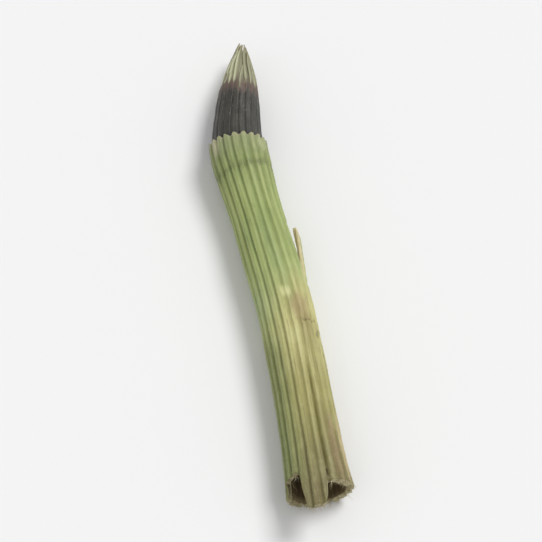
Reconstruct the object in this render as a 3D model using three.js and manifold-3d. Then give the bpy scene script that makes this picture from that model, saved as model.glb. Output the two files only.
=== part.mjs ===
// A cut piece of dried horsetail stem, lying on its side as it came off the chopper.
// It is one hollow, ribbed internode, closed at its upper end by the node, with the dark leaf
// sheath that grows there. Millimetres, +Z up. The stem lies along Y: the cut end faces -Y and
// the sheath faces +Y. The origin is under the middle of the piece, on the surface it rests on.
//
// Every solid is first made straight, round Y, with y counted from the cut end. bendOnToAxis
// then gives it the oval section, the swelling at the node and the bow that drying gave it.

import * as THREE from "three";
import { mergeVertices } from "three/addons/utils/BufferGeometryUtils.js";
import Module from "manifold-3d";

// ---- driving dimensions ----

const STEM_WIDTH = 4.8; // across, as the piece lies
const STEM_HEIGHT = 4.4; // a dried stem is a little flattened
const UNDERSIDE_PRESSED = 0.1; // how much of the lowest ribs has settled flat
const INTERNODE_LENGTH = 33.2; // cut end to node
const SHEATH_LENGTH = 10; // node to the tips of the longest teeth
const TEETH_LENGTH = 5; // the free tips of the leaves
const RIB_COUNT = 20;
const RIB_DEPTH = 0.18;
const BORE_SHARE = 0.76; // width of the hollow over the width of the stem
const BOW = 0.9; // how far the middle of the internode stands out of line, towards +X
const SHEATH_LEAN = THREE.MathUtils.degToRad(19); // the empty sheath leans towards +X

// ---- the stem's axis ----

const RADIUS = STEM_WIDTH / 2;
const RIB_PITCH = (2 * Math.PI) / RIB_COUNT;
const AXIS_LEAD = 3; // the axis runs on past both ends of the piece
const AXIS_LENGTH = INTERNODE_LENGTH + SHEATH_LENGTH + 2 * AXIS_LEAD;
const BOW_SOFTNESS = 5; // half the length over which the internode bends
const LEAN_SOFTNESS = 1.6; // and the sheath

// The internode is two nearly straight halves with a soft bend between them.
function bowAt(y) {
  const reach = Math.hypot(y - INTERNODE_LENGTH / 2, BOW_SOFTNESS);
  const reachAtEnd = Math.hypot(INTERNODE_LENGTH / 2, BOW_SOFTNESS);
  return (BOW * (reachAtEnd - reach)) / (reachAtEnd - BOW_SOFTNESS);
}

class StemAxis extends THREE.Curve {
  getPoint(t, target = new THREE.Vector3()) {
    const y = t * AXIS_LENGTH - AXIS_LEAD;
    const pastNode = y - INTERNODE_LENGTH;
    const leaning = (pastNode + Math.hypot(pastNode, LEAN_SOFTNESS)) / 2;
    return target.set(bowAt(y) + leaning * Math.tan(SHEATH_LEAN), y, 0);
  }
}

const axis = new StemAxis();
const UP = new THREE.Vector3(0, 0, 1);
const LOWEST = -(RADIUS - UNDERSIDE_PRESSED);
const FLATTENING = STEM_HEIGHT / (RADIUS - LOWEST);

// Girth at y, as a share of the stem's nominal girth: a little flare where the knife pressed on
// the cut end, a gentle waist, and the swelling just below the node.
function girthAt(y) {
  const cutFlare = 0.05 * Math.exp(-Math.max(y, 0) / 2);
  const waist = -0.02 * Math.sin((Math.PI * y) / INTERNODE_LENGTH);
  const belowNode = (y - INTERNODE_LENGTH + 1.2) / 2.2;
  return 1 + cutFlare + waist + 0.03 * Math.exp(-(belowNode ** 2));
}

// The underside stays straight, along Z = 0, so the piece lies along its whole length.
function bendOnToAxis(geometry) {
  const position = geometry.getAttribute("position");
  const point = new THREE.Vector3();
  for (let i = 0; i < position.count; i++) {
    point.fromBufferAttribute(position, i);
    const girth = girthAt(point.y);
    const height = Math.max(point.z, LOWEST) - LOWEST;
    const along = (point.y + AXIS_LEAD) / AXIS_LENGTH;
    const side = axis.getTangent(along).cross(UP);
    const bent = axis.getPoint(along);
    bent.addScaledVector(side, point.x * girth);
    bent.addScaledVector(UP, height * girth * FLATTENING);
    position.setXYZ(i, bent.x, bent.y, bent.z);
  }
  geometry.computeVertexNormals();
  return geometry;
}

// ---- joining and cutting ----

const wasm = await Module();
wasm.setup();

function toSolid(geometry) {
  const bare = geometry.clone();
  bare.deleteAttribute("normal");
  bare.deleteAttribute("uv");
  const merged = mergeVertices(bare, 1e-4);
  return new wasm.Manifold(
    new wasm.Mesh({
      numProp: 3,
      vertProperties: merged.attributes.position.array,
      triVerts: new Uint32Array(merged.index.array),
    }),
  );
}

function toGeometry(solid) {
  const mesh = solid.getMesh();
  const geometry = new THREE.BufferGeometry();
  geometry.setAttribute("position", new THREE.BufferAttribute(mesh.vertProperties, 3));
  geometry.setIndex(new THREE.BufferAttribute(mesh.triVerts, 1));
  return geometry;
}

// An outline in the XY plane extruded towards +Z, turned so that it runs along +Y from the given
// y. Its own +Y then faces down, so outlines that aren't symmetric are drawn with that in mind.
function extrudeAlongStem(outline, from, to, steps = 1) {
  const geometry = new THREE.ExtrudeGeometry(outline, {
    depth: to - from,
    steps,
    bevelEnabled: false,
  });
  return geometry.rotateX(-Math.PI / 2).translate(0, from, 0);
}

function ringOutline(radius, count) {
  const points = [];
  for (let i = 0; i < count; i++) {
    const angle = (2 * Math.PI * i) / count;
    points.push(new THREE.Vector2(radius * Math.cos(angle), radius * Math.sin(angle)));
  }
  return points;
}

// ---- the stem: one grown piece from the cut end to the torn stub above the node ----

const BORE_RADIUS = BORE_SHARE * RADIUS;
const NODE_WALL = 0.8; // the partition that closes the hollow at the node
const BORE_POINTS = 3 * RIB_COUNT;
const STEM_STEPS = 22;

// The chopper's blade went through a little aslant. It left a tongue of the wall standing on top,
// and a flake broke off beside it, on the left.
const CUT_SLANT = 0.3;
const TONGUE_LENGTH = 1.9;
const TONGUE_SIDE = THREE.MathUtils.degToRad(105); // from +X towards +Z
const TONGUE_HALF_ANGLE = THREE.MathUtils.degToRad(24);
const FLAKE_LENGTH = 1.4;
const FLAKE_SIDE = THREE.MathUtils.degToRad(150);
const FLAKE_HALF_ANGLE = THREE.MathUtils.degToRad(32);

// 1 on the given side of the stem, falling to 0 at the given angle from it.
function within(angle, side, halfAngle) {
  const off = Math.abs(Math.atan2(Math.sin(angle - side), Math.cos(angle - side)));
  return 1 - THREE.MathUtils.smoothstep(off, 0.5 * halfAngle, halfAngle);
}

function cutBackAt(angle) {
  const slant = (CUT_SLANT * (1 + Math.cos(angle))) / 2;
  const flake = FLAKE_LENGTH * within(angle, FLAKE_SIDE, FLAKE_HALF_ANGLE);
  const tongue = TONGUE_LENGTH * within(angle, TONGUE_SIDE, TONGUE_HALF_ANGLE);
  return slant + flake - tongue;
}

// Each rib has a flat crest, and a narrow furrow lies on either side of it.
function ribbedOutline() {
  const points = [];
  const crestHalf = 0.27 * RIB_PITCH;
  for (let rib = 0; rib < RIB_COUNT; rib++) {
    const furrow = rib * RIB_PITCH;
    const crest = furrow + RIB_PITCH / 2;
    for (const [angle, radius] of [
      [furrow, RADIUS - RIB_DEPTH],
      [crest - crestHalf, RADIUS],
      [crest + crestHalf, RADIUS],
    ]) {
      points.push(new THREE.Vector2(radius * Math.cos(angle), radius * Math.sin(angle)));
    }
  }
  return points;
}

function internodeWall() {
  const outline = new THREE.Shape(ribbedOutline());
  outline.holes.push(new THREE.Path(ringOutline(BORE_RADIUS, BORE_POINTS)));
  const wall = extrudeAlongStem(outline, 0, INTERNODE_LENGTH, STEM_STEPS);
  const position = wall.getAttribute("position");
  for (let i = 0; i < position.count; i++) {
    const y = position.getY(i);
    const cutBack = cutBackAt(Math.atan2(position.getZ(i), position.getX(i)));
    position.setY(i, y + cutBack * (1 - y / INTERNODE_LENGTH));
  }
  return wall;
}

// The node's partition and, above it, what is left of the next internode: a short torn stub that
// stays hidden in the sheath.
const STUB_LENGTH = 3.4;

function nodeAndStub() {
  const inWall = (BORE_RADIUS + RADIUS) / 2;
  const profile = [
    new THREE.Vector2(0, INTERNODE_LENGTH - NODE_WALL),
    new THREE.Vector2(inWall, INTERNODE_LENGTH - NODE_WALL),
    new THREE.Vector2(inWall, INTERNODE_LENGTH - 0.02),
    new THREE.Vector2(1.45, INTERNODE_LENGTH + 0.1),
    new THREE.Vector2(1.2, INTERNODE_LENGTH + 0.6 * STUB_LENGTH),
    new THREE.Vector2(0.7, INTERNODE_LENGTH + 0.9 * STUB_LENGTH),
    new THREE.Vector2(0, INTERNODE_LENGTH + STUB_LENGTH),
  ];
  return new THREE.LatheGeometry(profile, 2 * RIB_COUNT);
}

// A splinter one rib wide has torn loose on the right flank. Its root is at the scar, and its free
// end stands off the stem, towards the node.
const SPLINTER_ANGLE = RIB_PITCH / 2; // the first rib above +X
const SPLINTER_ROOT = INTERNODE_LENGTH - 13.6;
const SPLINTER_TIP = INTERNODE_LENGTH - 8.2;
const SPLINTER_LIFT = 0.6;
const SPLINTER_THICKNESS = 0.36;
const SPLINTER_WIDTH = 0.56;

function splinter() {
  const seat = RADIUS - SPLINTER_THICKNESS / 2;
  const length = SPLINTER_TIP - SPLINTER_ROOT;
  const path = new THREE.CatmullRomCurve3([
    new THREE.Vector3(seat - 0.12, SPLINTER_ROOT - 0.8, 0),
    new THREE.Vector3(seat + 0.02, SPLINTER_ROOT + 0.1 * length, 0),
    new THREE.Vector3(seat + 0.45 * SPLINTER_LIFT, SPLINTER_ROOT + 0.5 * length, 0),
    new THREE.Vector3(seat + SPLINTER_LIFT, SPLINTER_TIP, 0),
  ]);
  const halfWidth = SPLINTER_WIDTH / 2;
  const halfThickness = SPLINTER_THICKNESS / 2;
  const section = new THREE.Shape([
    new THREE.Vector2(-halfThickness, -halfWidth),
    new THREE.Vector2(halfThickness, -0.7 * halfWidth),
    new THREE.Vector2(halfThickness, 0.7 * halfWidth),
    new THREE.Vector2(-halfThickness, halfWidth),
  ]);
  const strip = new THREE.ExtrudeGeometry(section, { extrudePath: path, steps: 10 });
  return strip.rotateY(-SPLINTER_ANGLE);
}

function splinterBed() {
  const length = SPLINTER_TIP - SPLINTER_ROOT;
  const bed = new THREE.BoxGeometry(2 * SPLINTER_THICKNESS, length, SPLINTER_WIDTH + 0.08);
  bed.translate(RADIUS, SPLINTER_ROOT + length / 2, 0);
  return bed.rotateY(-SPLINTER_ANGLE);
}

// A healed scar stands up a little on top, where the splinter's tear ends.
const SCAR_Y = INTERNODE_LENGTH - 17.0;
const SCAR_ANGLE = THREE.MathUtils.degToRad(70);

function scar() {
  const callus = new THREE.SphereGeometry(1, 14, 10);
  callus.scale(0.34, 1.5, 0.62);
  callus.translate(RADIUS - 0.2, SCAR_Y, 0);
  return callus.rotateY(-SCAR_ANGLE);
}

function stem() {
  const solid = toSolid(internodeWall())
    .add(toSolid(nodeAndStub()))
    .add(toSolid(scar()))
    .subtract(toSolid(splinterBed()))
    .add(toSolid(splinter()));
  const material = new THREE.MeshStandardMaterial({ color: 0x99a36c, roughness: 0.62, metalness: 0 });
  const mesh = new THREE.Mesh(bendOnToAxis(toGeometry(solid)), material);
  mesh.name = "stem";
  return mesh;
}

// ---- the leaf sheath: the node's whorl of leaves, grown together into a cup ----

const SHEATH_GAP = 0.06; // between the sheath's foot and the end of the ribs
const SHEATH_THICKNESS = 0.22;
const SHEATH_BASE_RADIUS = 2.05;
const SHEATH_SHOULDER_RADIUS = 1.6; // where the teeth begin
const SHEATH_TIP_RADIUS = 0.36;
const SHEATH_BULGE = 0.08; // of its sides, halfway up to the teeth
const SHEATH_SEGMENTS = 2 * RIB_COUNT;
const TOOTH_COUNT = RIB_COUNT / 2; // the leaves' tips cling together two by two

// Half the section of the cup: up its outside, over the rim and down its inside. Nothing has held
// it open since the next internode pulled out of it, so it has dried into a pointed cone.
function sheathCup() {
  const foot = INTERNODE_LENGTH + SHEATH_GAP;
  const rim = INTERNODE_LENGTH + SHEATH_LENGTH;
  const shoulder = rim - TEETH_LENGTH;
  const halfway = (SHEATH_BASE_RADIUS + SHEATH_SHOULDER_RADIUS) / 2;
  const outside = new THREE.SplineCurve([
    new THREE.Vector2(SHEATH_BASE_RADIUS, foot),
    new THREE.Vector2(halfway + SHEATH_BULGE, (foot + shoulder) / 2),
    new THREE.Vector2(SHEATH_SHOULDER_RADIUS, shoulder),
    new THREE.Vector2(SHEATH_TIP_RADIUS, rim),
  ]).getPoints(12);
  const inside = outside.map((p) => new THREE.Vector2(p.x - SHEATH_THICKNESS, p.y)).reverse();
  return new THREE.LatheGeometry([...outside, ...inside, outside[0].clone()], SHEATH_SEGMENTS);
}

// The V between two neighbouring teeth. Some are split deeper than others.
function toothGap(number) {
  const depth = TEETH_LENGTH * (0.55 + 0.18 * Math.sin(2.4 * number));
  const top = INTERNODE_LENGTH + SHEATH_LENGTH + 0.2;
  const halfWidth = (0.5 * Math.PI * SHEATH_TIP_RADIUS) / TOOTH_COUNT;
  const vee = new THREE.Shape([
    new THREE.Vector2(0, top - depth),
    new THREE.Vector2(halfWidth, top),
    new THREE.Vector2(-halfWidth, top),
  ]);
  const cutter = new THREE.ExtrudeGeometry(vee, { depth: 2 * RADIUS, bevelEnabled: false });
  return cutter.rotateY((number * 2 * Math.PI) / TOOTH_COUNT);
}

// The brittle tips have broken off aslant, so the teeth are longest on the left.
function brokenTips() {
  const cutter = new THREE.BoxGeometry(3 * STEM_WIDTH, 4, 3 * STEM_WIDTH);
  cutter.translate(0, 2, 0).rotateZ(THREE.MathUtils.degToRad(-38));
  return cutter.translate(-SHEATH_TIP_RADIUS, INTERNODE_LENGTH + SHEATH_LENGTH - 0.05, 0);
}

function leafSheath() {
  let solid = toSolid(sheathCup());
  for (let number = 0; number < TOOTH_COUNT; number++) {
    solid = solid.subtract(toSolid(toothGap(number)));
  }
  solid = solid.subtract(toSolid(brokenTips()));
  const material = new THREE.MeshStandardMaterial({ color: 0x4c4648, roughness: 0.5, metalness: 0 });
  const mesh = new THREE.Mesh(bendOnToAxis(toGeometry(solid)), material);
  mesh.name = "leaf_sheath";
  return mesh;
}

// ---- the whole piece, set down on the surface ----

const piece = new THREE.Group();
piece.add(stem(), leafSheath());
const bounds = new THREE.Box3().setFromObject(piece);
const middle = bounds.getCenter(new THREE.Vector3());
piece.position.set(-middle.x, -middle.y, -bounds.min.z);

export default piece;
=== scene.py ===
import math

import bpy
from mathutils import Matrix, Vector


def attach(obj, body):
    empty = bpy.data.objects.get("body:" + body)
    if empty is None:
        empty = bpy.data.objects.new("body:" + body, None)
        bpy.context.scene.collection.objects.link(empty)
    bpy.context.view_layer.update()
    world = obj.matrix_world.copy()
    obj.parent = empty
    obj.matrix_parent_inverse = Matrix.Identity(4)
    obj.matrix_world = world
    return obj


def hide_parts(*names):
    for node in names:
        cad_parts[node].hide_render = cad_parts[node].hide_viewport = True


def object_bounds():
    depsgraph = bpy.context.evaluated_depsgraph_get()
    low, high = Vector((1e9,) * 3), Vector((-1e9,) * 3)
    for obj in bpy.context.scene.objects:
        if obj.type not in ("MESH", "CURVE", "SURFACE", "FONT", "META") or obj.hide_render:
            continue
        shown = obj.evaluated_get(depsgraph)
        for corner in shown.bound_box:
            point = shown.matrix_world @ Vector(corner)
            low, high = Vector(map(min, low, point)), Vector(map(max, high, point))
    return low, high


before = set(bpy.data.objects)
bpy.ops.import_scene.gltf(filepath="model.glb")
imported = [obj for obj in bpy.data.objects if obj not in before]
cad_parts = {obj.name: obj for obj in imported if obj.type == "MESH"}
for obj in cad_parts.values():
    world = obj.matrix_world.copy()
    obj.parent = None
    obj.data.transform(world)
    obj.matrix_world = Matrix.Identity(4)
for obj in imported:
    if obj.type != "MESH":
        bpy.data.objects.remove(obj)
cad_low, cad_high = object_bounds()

# ---- camera ----
# It looks down on the piece as it lies, from a little to the left of the cut end. The piece is
# small and is seen from well away, so the lens is long and the two ends look equally wide.

AZIMUTH = math.radians(-12)
ELEVATION = math.radians(62)
SHARE_OF_VIEW = 0.88
backwards = Vector(
    (
        math.sin(AZIMUTH) * math.cos(ELEVATION),
        -math.cos(AZIMUTH) * math.cos(ELEVATION),
        math.sin(ELEVATION),
    )
)
lens = bpy.data.cameras.new("camera")
lens.lens = 220
camera = bpy.data.objects.new("camera", lens)
bpy.context.scene.collection.objects.link(camera)
bpy.context.scene.camera = camera
seen_length = (cad_high.y - cad_low.y) * math.sin(ELEVATION)
distance = seen_length / SHARE_OF_VIEW * lens.lens / lens.sensor_width
camera.location = (cad_low + cad_high) / 2 + backwards * distance
camera.rotation_mode = "QUATERNION"
camera.rotation_quaternion = backwards.to_track_quat("Z", "Y")
lens.clip_start = 0.001

# ---- the stem ----
# One hollow internode of a horsetail, dried until it is hard and brittle. It grew as a ribbed tube
# with a ring of fine air canals in its wall. The chopper left it open at one end, and the node
# closes the other. Sizes are in millimetres, and y is counted from the cut end to the node.

LENGTH = 33.2
RADIUS = 2.4
BORE_RADIUS = 1.82
RIBS = 20
RIB_DEPTH = 0.18
BOW = 0.9
BOW_SOFTNESS = 5.0
LEAN = math.radians(19)
LEAN_SOFTNESS = 1.6
PRESSED = 0.1
FLATTENING = 4.4 / (2 * RADIUS - PRESSED)
AXIS_START = (-0.5317, -20.7503)  # x and y of the cut end's middle, with the piece centred
NODE_WALL = 0.8
CANAL_RADIUS = 0.12
CANAL_DEPTH = 1.2
PITCH = 2 * math.pi / RIBS


class Number:
    """A number that a node tree works out. Reckoning with it adds Math nodes to the tree."""

    def __init__(self, socket):
        self.socket = socket
        self.tree = socket.id_data

    def __add__(self, other):
        return reckon(self.tree, "ADD", self, other)

    def __sub__(self, other):
        return reckon(self.tree, "SUBTRACT", self, other)

    def __rsub__(self, other):
        return reckon(self.tree, "SUBTRACT", other, self)

    def __mul__(self, other):
        return reckon(self.tree, "MULTIPLY", self, other)

    def __truediv__(self, other):
        return reckon(self.tree, "DIVIDE", self, other)

    def __pow__(self, other):
        return reckon(self.tree, "POWER", self, other)

    def __neg__(self):
        return self * -1

    def __abs__(self):
        return reckon(self.tree, "ABSOLUTE", self)

    __radd__ = __add__
    __rmul__ = __mul__

    def ramp(self, low, high):
        """0 at low, 1 at high and beyond, and an S between them. Low may be the larger one."""
        node = self.tree.nodes.new("ShaderNodeMapRange")
        node.interpolation_type = "SMOOTHSTEP"
        feed(node.inputs["Value"], self)
        feed(node.inputs["From Min"], low)
        feed(node.inputs["From Max"], high)
        return Number(node.outputs["Result"])

    def climb(self, low, high):
        """0 at low, 1 at high, and a straight line between them."""
        node = self.tree.nodes.new("ShaderNodeMapRange")
        feed(node.inputs["Value"], self)
        feed(node.inputs["From Min"], low)
        feed(node.inputs["From Max"], high)
        return Number(node.outputs["Result"])

    def bell(self, middle, width):
        """1 at middle, falling to a third at a distance of width."""
        off = (self - middle) / width
        return reckon(self.tree, "EXPONENT", -(off * off))


def feed(socket, value):
    """Plugs a Number or another socket into a socket, or sets it to a plain value."""
    if isinstance(value, Number):
        value = value.socket
    if isinstance(value, bpy.types.NodeSocket):
        socket.id_data.links.new(value, socket)
    else:
        socket.default_value = value


def reckon(tree, operation, *values):
    """A Number that one Math node works out from values."""
    node = tree.nodes.new("ShaderNodeMath")
    node.operation = operation
    for socket, value in zip(node.inputs, values):
        feed(socket, value)
    return Number(node.outputs[0])


def sine(number):
    return reckon(number.tree, "SINE", number)


def cosine(number):
    return reckon(number.tree, "COSINE", number)


def fraction(number):
    return reckon(number.tree, "FRACT", number)


def root(number):
    return reckon(number.tree, "SQRT", number)


def larger(number, other):
    return reckon(number.tree, "MAXIMUM", number, other)


def smaller(number, other):
    return reckon(number.tree, "MINIMUM", number, other)


def blend(share, start, end):
    return start + share * (end - start)


def vector(tree, x, y, z):
    node = tree.nodes.new("ShaderNodeCombineXYZ")
    for socket, value in zip(node.inputs, (x, y, z)):
        feed(socket, value)
    return node.outputs[0]


def parts(tree, place):
    """The x, y and z of a vector."""
    node = tree.nodes.new("ShaderNodeSeparateXYZ")
    feed(node.inputs[0], place)
    return [Number(socket) for socket in node.outputs]


def as_grown(tree, around, out, along):
    """A place on the stem as it grew, before it bent and twisted."""
    return vector(tree, cosine(around) * out, along, sine(around) * out)


def grain(tree, place, scale, stretch=1, detail=2, shift=0):
    """Noise round 0, about half a unit either way. It is stretched along the second axis."""
    mapping = tree.nodes.new("ShaderNodeVectorMath")
    mapping.operation = "MULTIPLY_ADD"
    tree.links.new(place, mapping.inputs[0])
    mapping.inputs[1].default_value = (scale, scale / stretch, scale)
    mapping.inputs[2].default_value = (shift, 0.7 * shift, 1.3 * shift)
    noise = tree.nodes.new("ShaderNodeTexNoise")
    noise.inputs["Scale"].default_value = 1
    noise.inputs["Detail"].default_value = detail
    tree.links.new(mapping.outputs[0], noise.inputs["Vector"])
    return (Number(noise.outputs[0]) - 0.5) * 2


def new_tree(name, kind, given, made):
    """A node group. given names its inputs and their values, and made names its outputs."""
    tree = bpy.data.node_groups.new(name, kind)
    sockets = {float: "NodeSocketFloat", int: "NodeSocketInt", tuple: "NodeSocketVector"}
    for title, value in given.items():
        if isinstance(value, str):
            tree.interface.new_socket(title, in_out="INPUT", socket_type=value)
        else:
            kind_of_socket = sockets[type(value)]
            socket = tree.interface.new_socket(title, in_out="INPUT", socket_type=kind_of_socket)
            socket.default_value = value
    for title, kind_of_socket in made.items():
        tree.interface.new_socket(title, in_out="OUTPUT", socket_type=kind_of_socket)
    inlet = tree.nodes.new("NodeGroupInput")
    outlet = tree.nodes.new("NodeGroupOutput")
    return tree, {title: Number(inlet.outputs[title]) for title in given}, outlet.inputs


def use(tree, group, **values):
    """Places a group in a tree, and returns its outputs."""
    kind = "ShaderNodeGroup" if tree.bl_idname == "ShaderNodeTree" else "GeometryNodeGroup"
    node = tree.nodes.new(kind)
    node.node_tree = group
    for title, value in values.items():
        feed(node.inputs[title], value)
    return node.outputs


NUMBER = "NodeSocketFloat"
VECTOR = "NodeSocketVector"
GEOMETRY = "NodeSocketGeometry"
MATERIAL = "NodeSocketMaterial"

# How the straight stem lies: the twist it grew with, the bow and the warp that drying gave it, the
# lean of the sheath, the swollen node with its narrower neck, the cut end that the chopper squeezed
# wider than it is high, and the ribs that settled flat where it rests.
lie, given, made = new_tree(
    "lie of the stem",
    "GeometryNodeTree",
    {
        "Around": 0.0,
        "Out": RADIUS,
        "Along": 0.0,
        "Length": LENGTH,
        "Bow": BOW,
        "Bow Softness": BOW_SOFTNESS,
        "Lean": LEAN,
        "Warp": 0.22,
        "Warp Slope": 0.015,
        "Lowest": -(RADIUS - PRESSED),
        "Flattening": FLATTENING,
        "Twist": math.radians(-5),
        "Cut Flare": 0.05,
        "Cut Squeeze": 0.13,
        "Waist": 0.02,
        "Neck": 0.05,
        "Node Swelling": 0.03,
    },
    {"Position": VECTOR},
)
along = given["Along"]
share = along / given["Length"]
grown_ring = as_grown(lie, given["Around"], 1, along * 0.06)
wander = 0.035 * grain(lie, grown_ring, 1.6, shift=5)
around = given["Around"] + wander + given["Twist"] * (share - 0.5)
half = given["Length"] / 2
softness = given["Bow Softness"]
reach = root((along - half) ** 2 + softness**2)
reach_at_end = root(half**2 + softness**2)
bend = given["Bow"] / (reach_at_end - softness)
past = along - given["Length"]
lean_reach = root(past**2 + LEAN_SOFTNESS**2)
lean = reckon(lie, "TANGENT", given["Lean"])
warped = along.ramp(26, -3)
slope = lean * (1 + past / lean_reach) / 2 - bend * (along - half) / reach
slope = slope - given["Warp Slope"] * warped
stretch = root(slope**2 + 1)
flare = given["Cut Flare"] * reckon(lie, "EXPONENT", -larger(along, 0) / 2)
squeezed = given["Cut Squeeze"] * reckon(lie, "EXPONENT", -larger(along, 0) / 4)
waist = given["Waist"] * sine(share * math.pi)
neck = given["Neck"] * along.bell(given["Length"] - 6.5, 3.2)
swelling = given["Node Swelling"] * along.bell(given["Length"] - 1.2, 2.2)
girth = 1 + flare - waist - neck + swelling
sideways = given["Out"] * cosine(around) * (girth + squeezed)
height = reckon(lie, "SMOOTH_MAX", given["Out"] * sine(around), given["Lowest"], 0.03)
upwards = (height - given["Lowest"]) * girth * given["Flattening"]
across = bend * (reach_at_end - reach) + lean * (past + lean_reach) / 2
across = across + given["Warp"] * warped * warped
x = across + sideways / stretch + AXIS_START[0]
y = along - sideways * slope / stretch + AXIS_START[1]
in_metres = lie.nodes.new("ShaderNodeVectorMath")
in_metres.operation = "SCALE"
in_metres.inputs["Scale"].default_value = 0.001
lie.links.new(vector(lie, x, y, upwards), in_metres.inputs[0])
lie.links.new(in_metres.outputs[0], made["Position"])


def move(tree, geometry, place, how="Position"):
    """Moves each point to a place, or by an Offset."""
    node = tree.nodes.new("GeometryNodeSetPosition")
    tree.links.new(geometry, node.inputs["Geometry"])
    tree.links.new(place, node.inputs[how])
    return node.outputs[0]


def lay(tree, geometry, around, out, along):
    """Moves each point to its place on the stem as it lies."""
    bent = use(tree, lie, Around=around, Out=out, Along=along)
    return move(tree, geometry, bent["Position"])


# The skin. Each rib has a crest with two edges, and a furrow lies on either side of it. No two ribs
# shrank alike. A rib on the right flank has torn out, a crack runs up from the cut end, and a
# healed scar stands up where the tear ends. Below it the skin has creased and torn a little across.
SPLINTER_AROUND = PITCH / 2
SPLINTER_ROOT = LENGTH - 14.2
SPLINTER_TIP = LENGTH - 9
SCAR_AROUND = math.radians(70)
SCAR_ALONG = LENGTH - 17
CRACK_AROUND = 4 * PITCH
CRACK_ENDS = (0.6, LENGTH - 21.5)
CREASE_FROM_NODE = 18.2
CREASE_ENDS = (math.radians(8), math.radians(78))
COLLAR = LENGTH - 2.9


def crease_near(tree, around, along, grown):
    """1 between the crease's ends and 0 past them, and how far off the crease a place lies."""
    across = around.climb(*CREASE_ENDS)
    between = across.ramp(0, 0.4) * across.ramp(1, 0.6)
    off = LENGTH - along - CREASE_FROM_NODE + 0.35 * grain(tree, grown, 2.2, shift=12)
    return between, abs(off)


skin, given, made = new_tree(
    "skin of the stem",
    "GeometryNodeTree",
    {
        "Around": 0.0,
        "Along": 0.0,
        "Ribs": float(RIBS),
        "Rib Depth": RIB_DEPTH,
        "Radius": RADIUS,
        "Shrinkage": 0.1,
        "Wrinkles": 0.035,
        "Pores": 0.012,
        "Collar Groove": 0.03,
        "Tear Depth": 0.32,
        "Scar Height": 0.17,
        "Scar Half Width": 0.55,
        "Scar Half Length": 1.4,
        "Crease Depth": 0.1,
        "Crack Depth": 0.2,
    },
    {"Out": NUMBER, "Torn": NUMBER},
)
around, along = given["Around"], given["Along"]
grown = as_grown(skin, around, RADIUS, along)
crest = 1 - abs(2 * fraction(around / (2 * math.pi) * given["Ribs"]) - 1)
rib_depth = given["Rib Depth"] * (0.95 + 0.6 * grain(skin, grown, 0.9, stretch=12))
rib = crest.ramp(0.12, 0.6) - 0.1 * crest.ramp(0.78, 1)
shrunk = given["Shrinkage"] * grain(skin, grown, 0.3, stretch=2.2, shift=3)
shrunk = shrunk + 0.05 * grain(skin, grown, 1.1, stretch=4, shift=9)
wrinkles = given["Wrinkles"] * grain(skin, grown, 5.5, stretch=9, detail=3, shift=5)
wrinkles = wrinkles * along.ramp(30, 14)
pores = given["Pores"] * grain(skin, grown, 14, stretch=1.6)
collar_groove = given["Collar Groove"] * along.bell(COLLAR, 0.25)
across_tear = abs(around - SPLINTER_AROUND) * RADIUS
ragged = 0.14 * grain(skin, grown, 4, stretch=3, shift=1)
torn = across_tear.ramp(0.34 + ragged, 0.24 + ragged)
torn = torn * along.ramp(SPLINTER_ROOT - 0.5, SPLINTER_ROOT + 0.6)
torn = torn * along.ramp(SPLINTER_TIP + 0.9 + 4 * ragged, SPLINTER_TIP + 0.2 + 4 * ragged)
bed = given["Tear Depth"] + 0.07 * grain(skin, grown, 7, stretch=10)
across_scar = (around - SCAR_AROUND) * RADIUS / given["Scar Half Width"]
along_scar = (along - SCAR_ALONG) / given["Scar Half Length"]
scar = reckon(skin, "EXPONENT", -(across_scar * across_scar + along_scar * along_scar))
scar = scar * (given["Scar Height"] + 0.1 * grain(skin, grown, 3.5, shift=2))
in_crease, off_crease = crease_near(skin, around, along, grown)
dip = 0.05 * off_crease.ramp(0.7, 0)
creased = in_crease * (dip + given["Crease Depth"] * off_crease.ramp(0.16, 0.02))
wander = 0.12 * grain(skin, grown, 0.5, shift=7)
across_crack = abs((around - CRACK_AROUND) * RADIUS + wander)
crack = across_crack.ramp(0.13, 0.02) * along.ramp(CRACK_ENDS[1], CRACK_ENDS[1] - 2.5)
crack = crack * along.ramp(CRACK_ENDS[0] - 1, CRACK_ENDS[0] + 0.5)
out = given["Radius"] - rib_depth * (1 - rib) * (1 - 0.6 * torn)
out = out + shrunk + wrinkles + pores + scar - creased - collar_groove - torn * bed
out = out - given["Crack Depth"] * crack
feed(made["Out"], out)
feed(made["Torn"], torn)

# The cut. The blade went through a little aslant and tore the fibres. It left a tongue of the wall
# standing on top, and a flake broke off beside it, on the left.
TONGUE_AROUND = math.radians(99)
FLAKE_AROUND = math.radians(151)

cut, given, made = new_tree(
    "cut end",
    "GeometryNodeTree",
    {
        "Around": 0.0,
        "Slant": 0.3,
        "Tongue Length": 1.9,
        "Tongue Half Angle": math.radians(23),
        "Flake Length": 1.4,
        "Flake Half Angle": math.radians(38),
        "Raggedness": 0.22,
    },
    {"Along": NUMBER},
)
around = given["Around"]
ring = as_grown(cut, around, 1, 0.0)
slant = given["Slant"] * (1 + cosine(around)) / 2
uneven = 0.1 * grain(cut, ring, 5, detail=3, shift=6)
off_tongue = (abs(around - TONGUE_AROUND) + uneven) / given["Tongue Half Angle"]
tongue = given["Tongue Length"] * off_tongue.ramp(1, 0.62)
off_flake = (abs(around - FLAKE_AROUND) + uneven) / given["Flake Half Angle"]
flake = given["Flake Length"] * off_flake.ramp(1, 0.5)
ragged = given["Raggedness"] * (grain(cut, ring, 3, detail=4) + 0.4 * grain(cut, ring, 16, shift=2))
feed(made["Along"], slant + flake - tongue + ragged)

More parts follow.
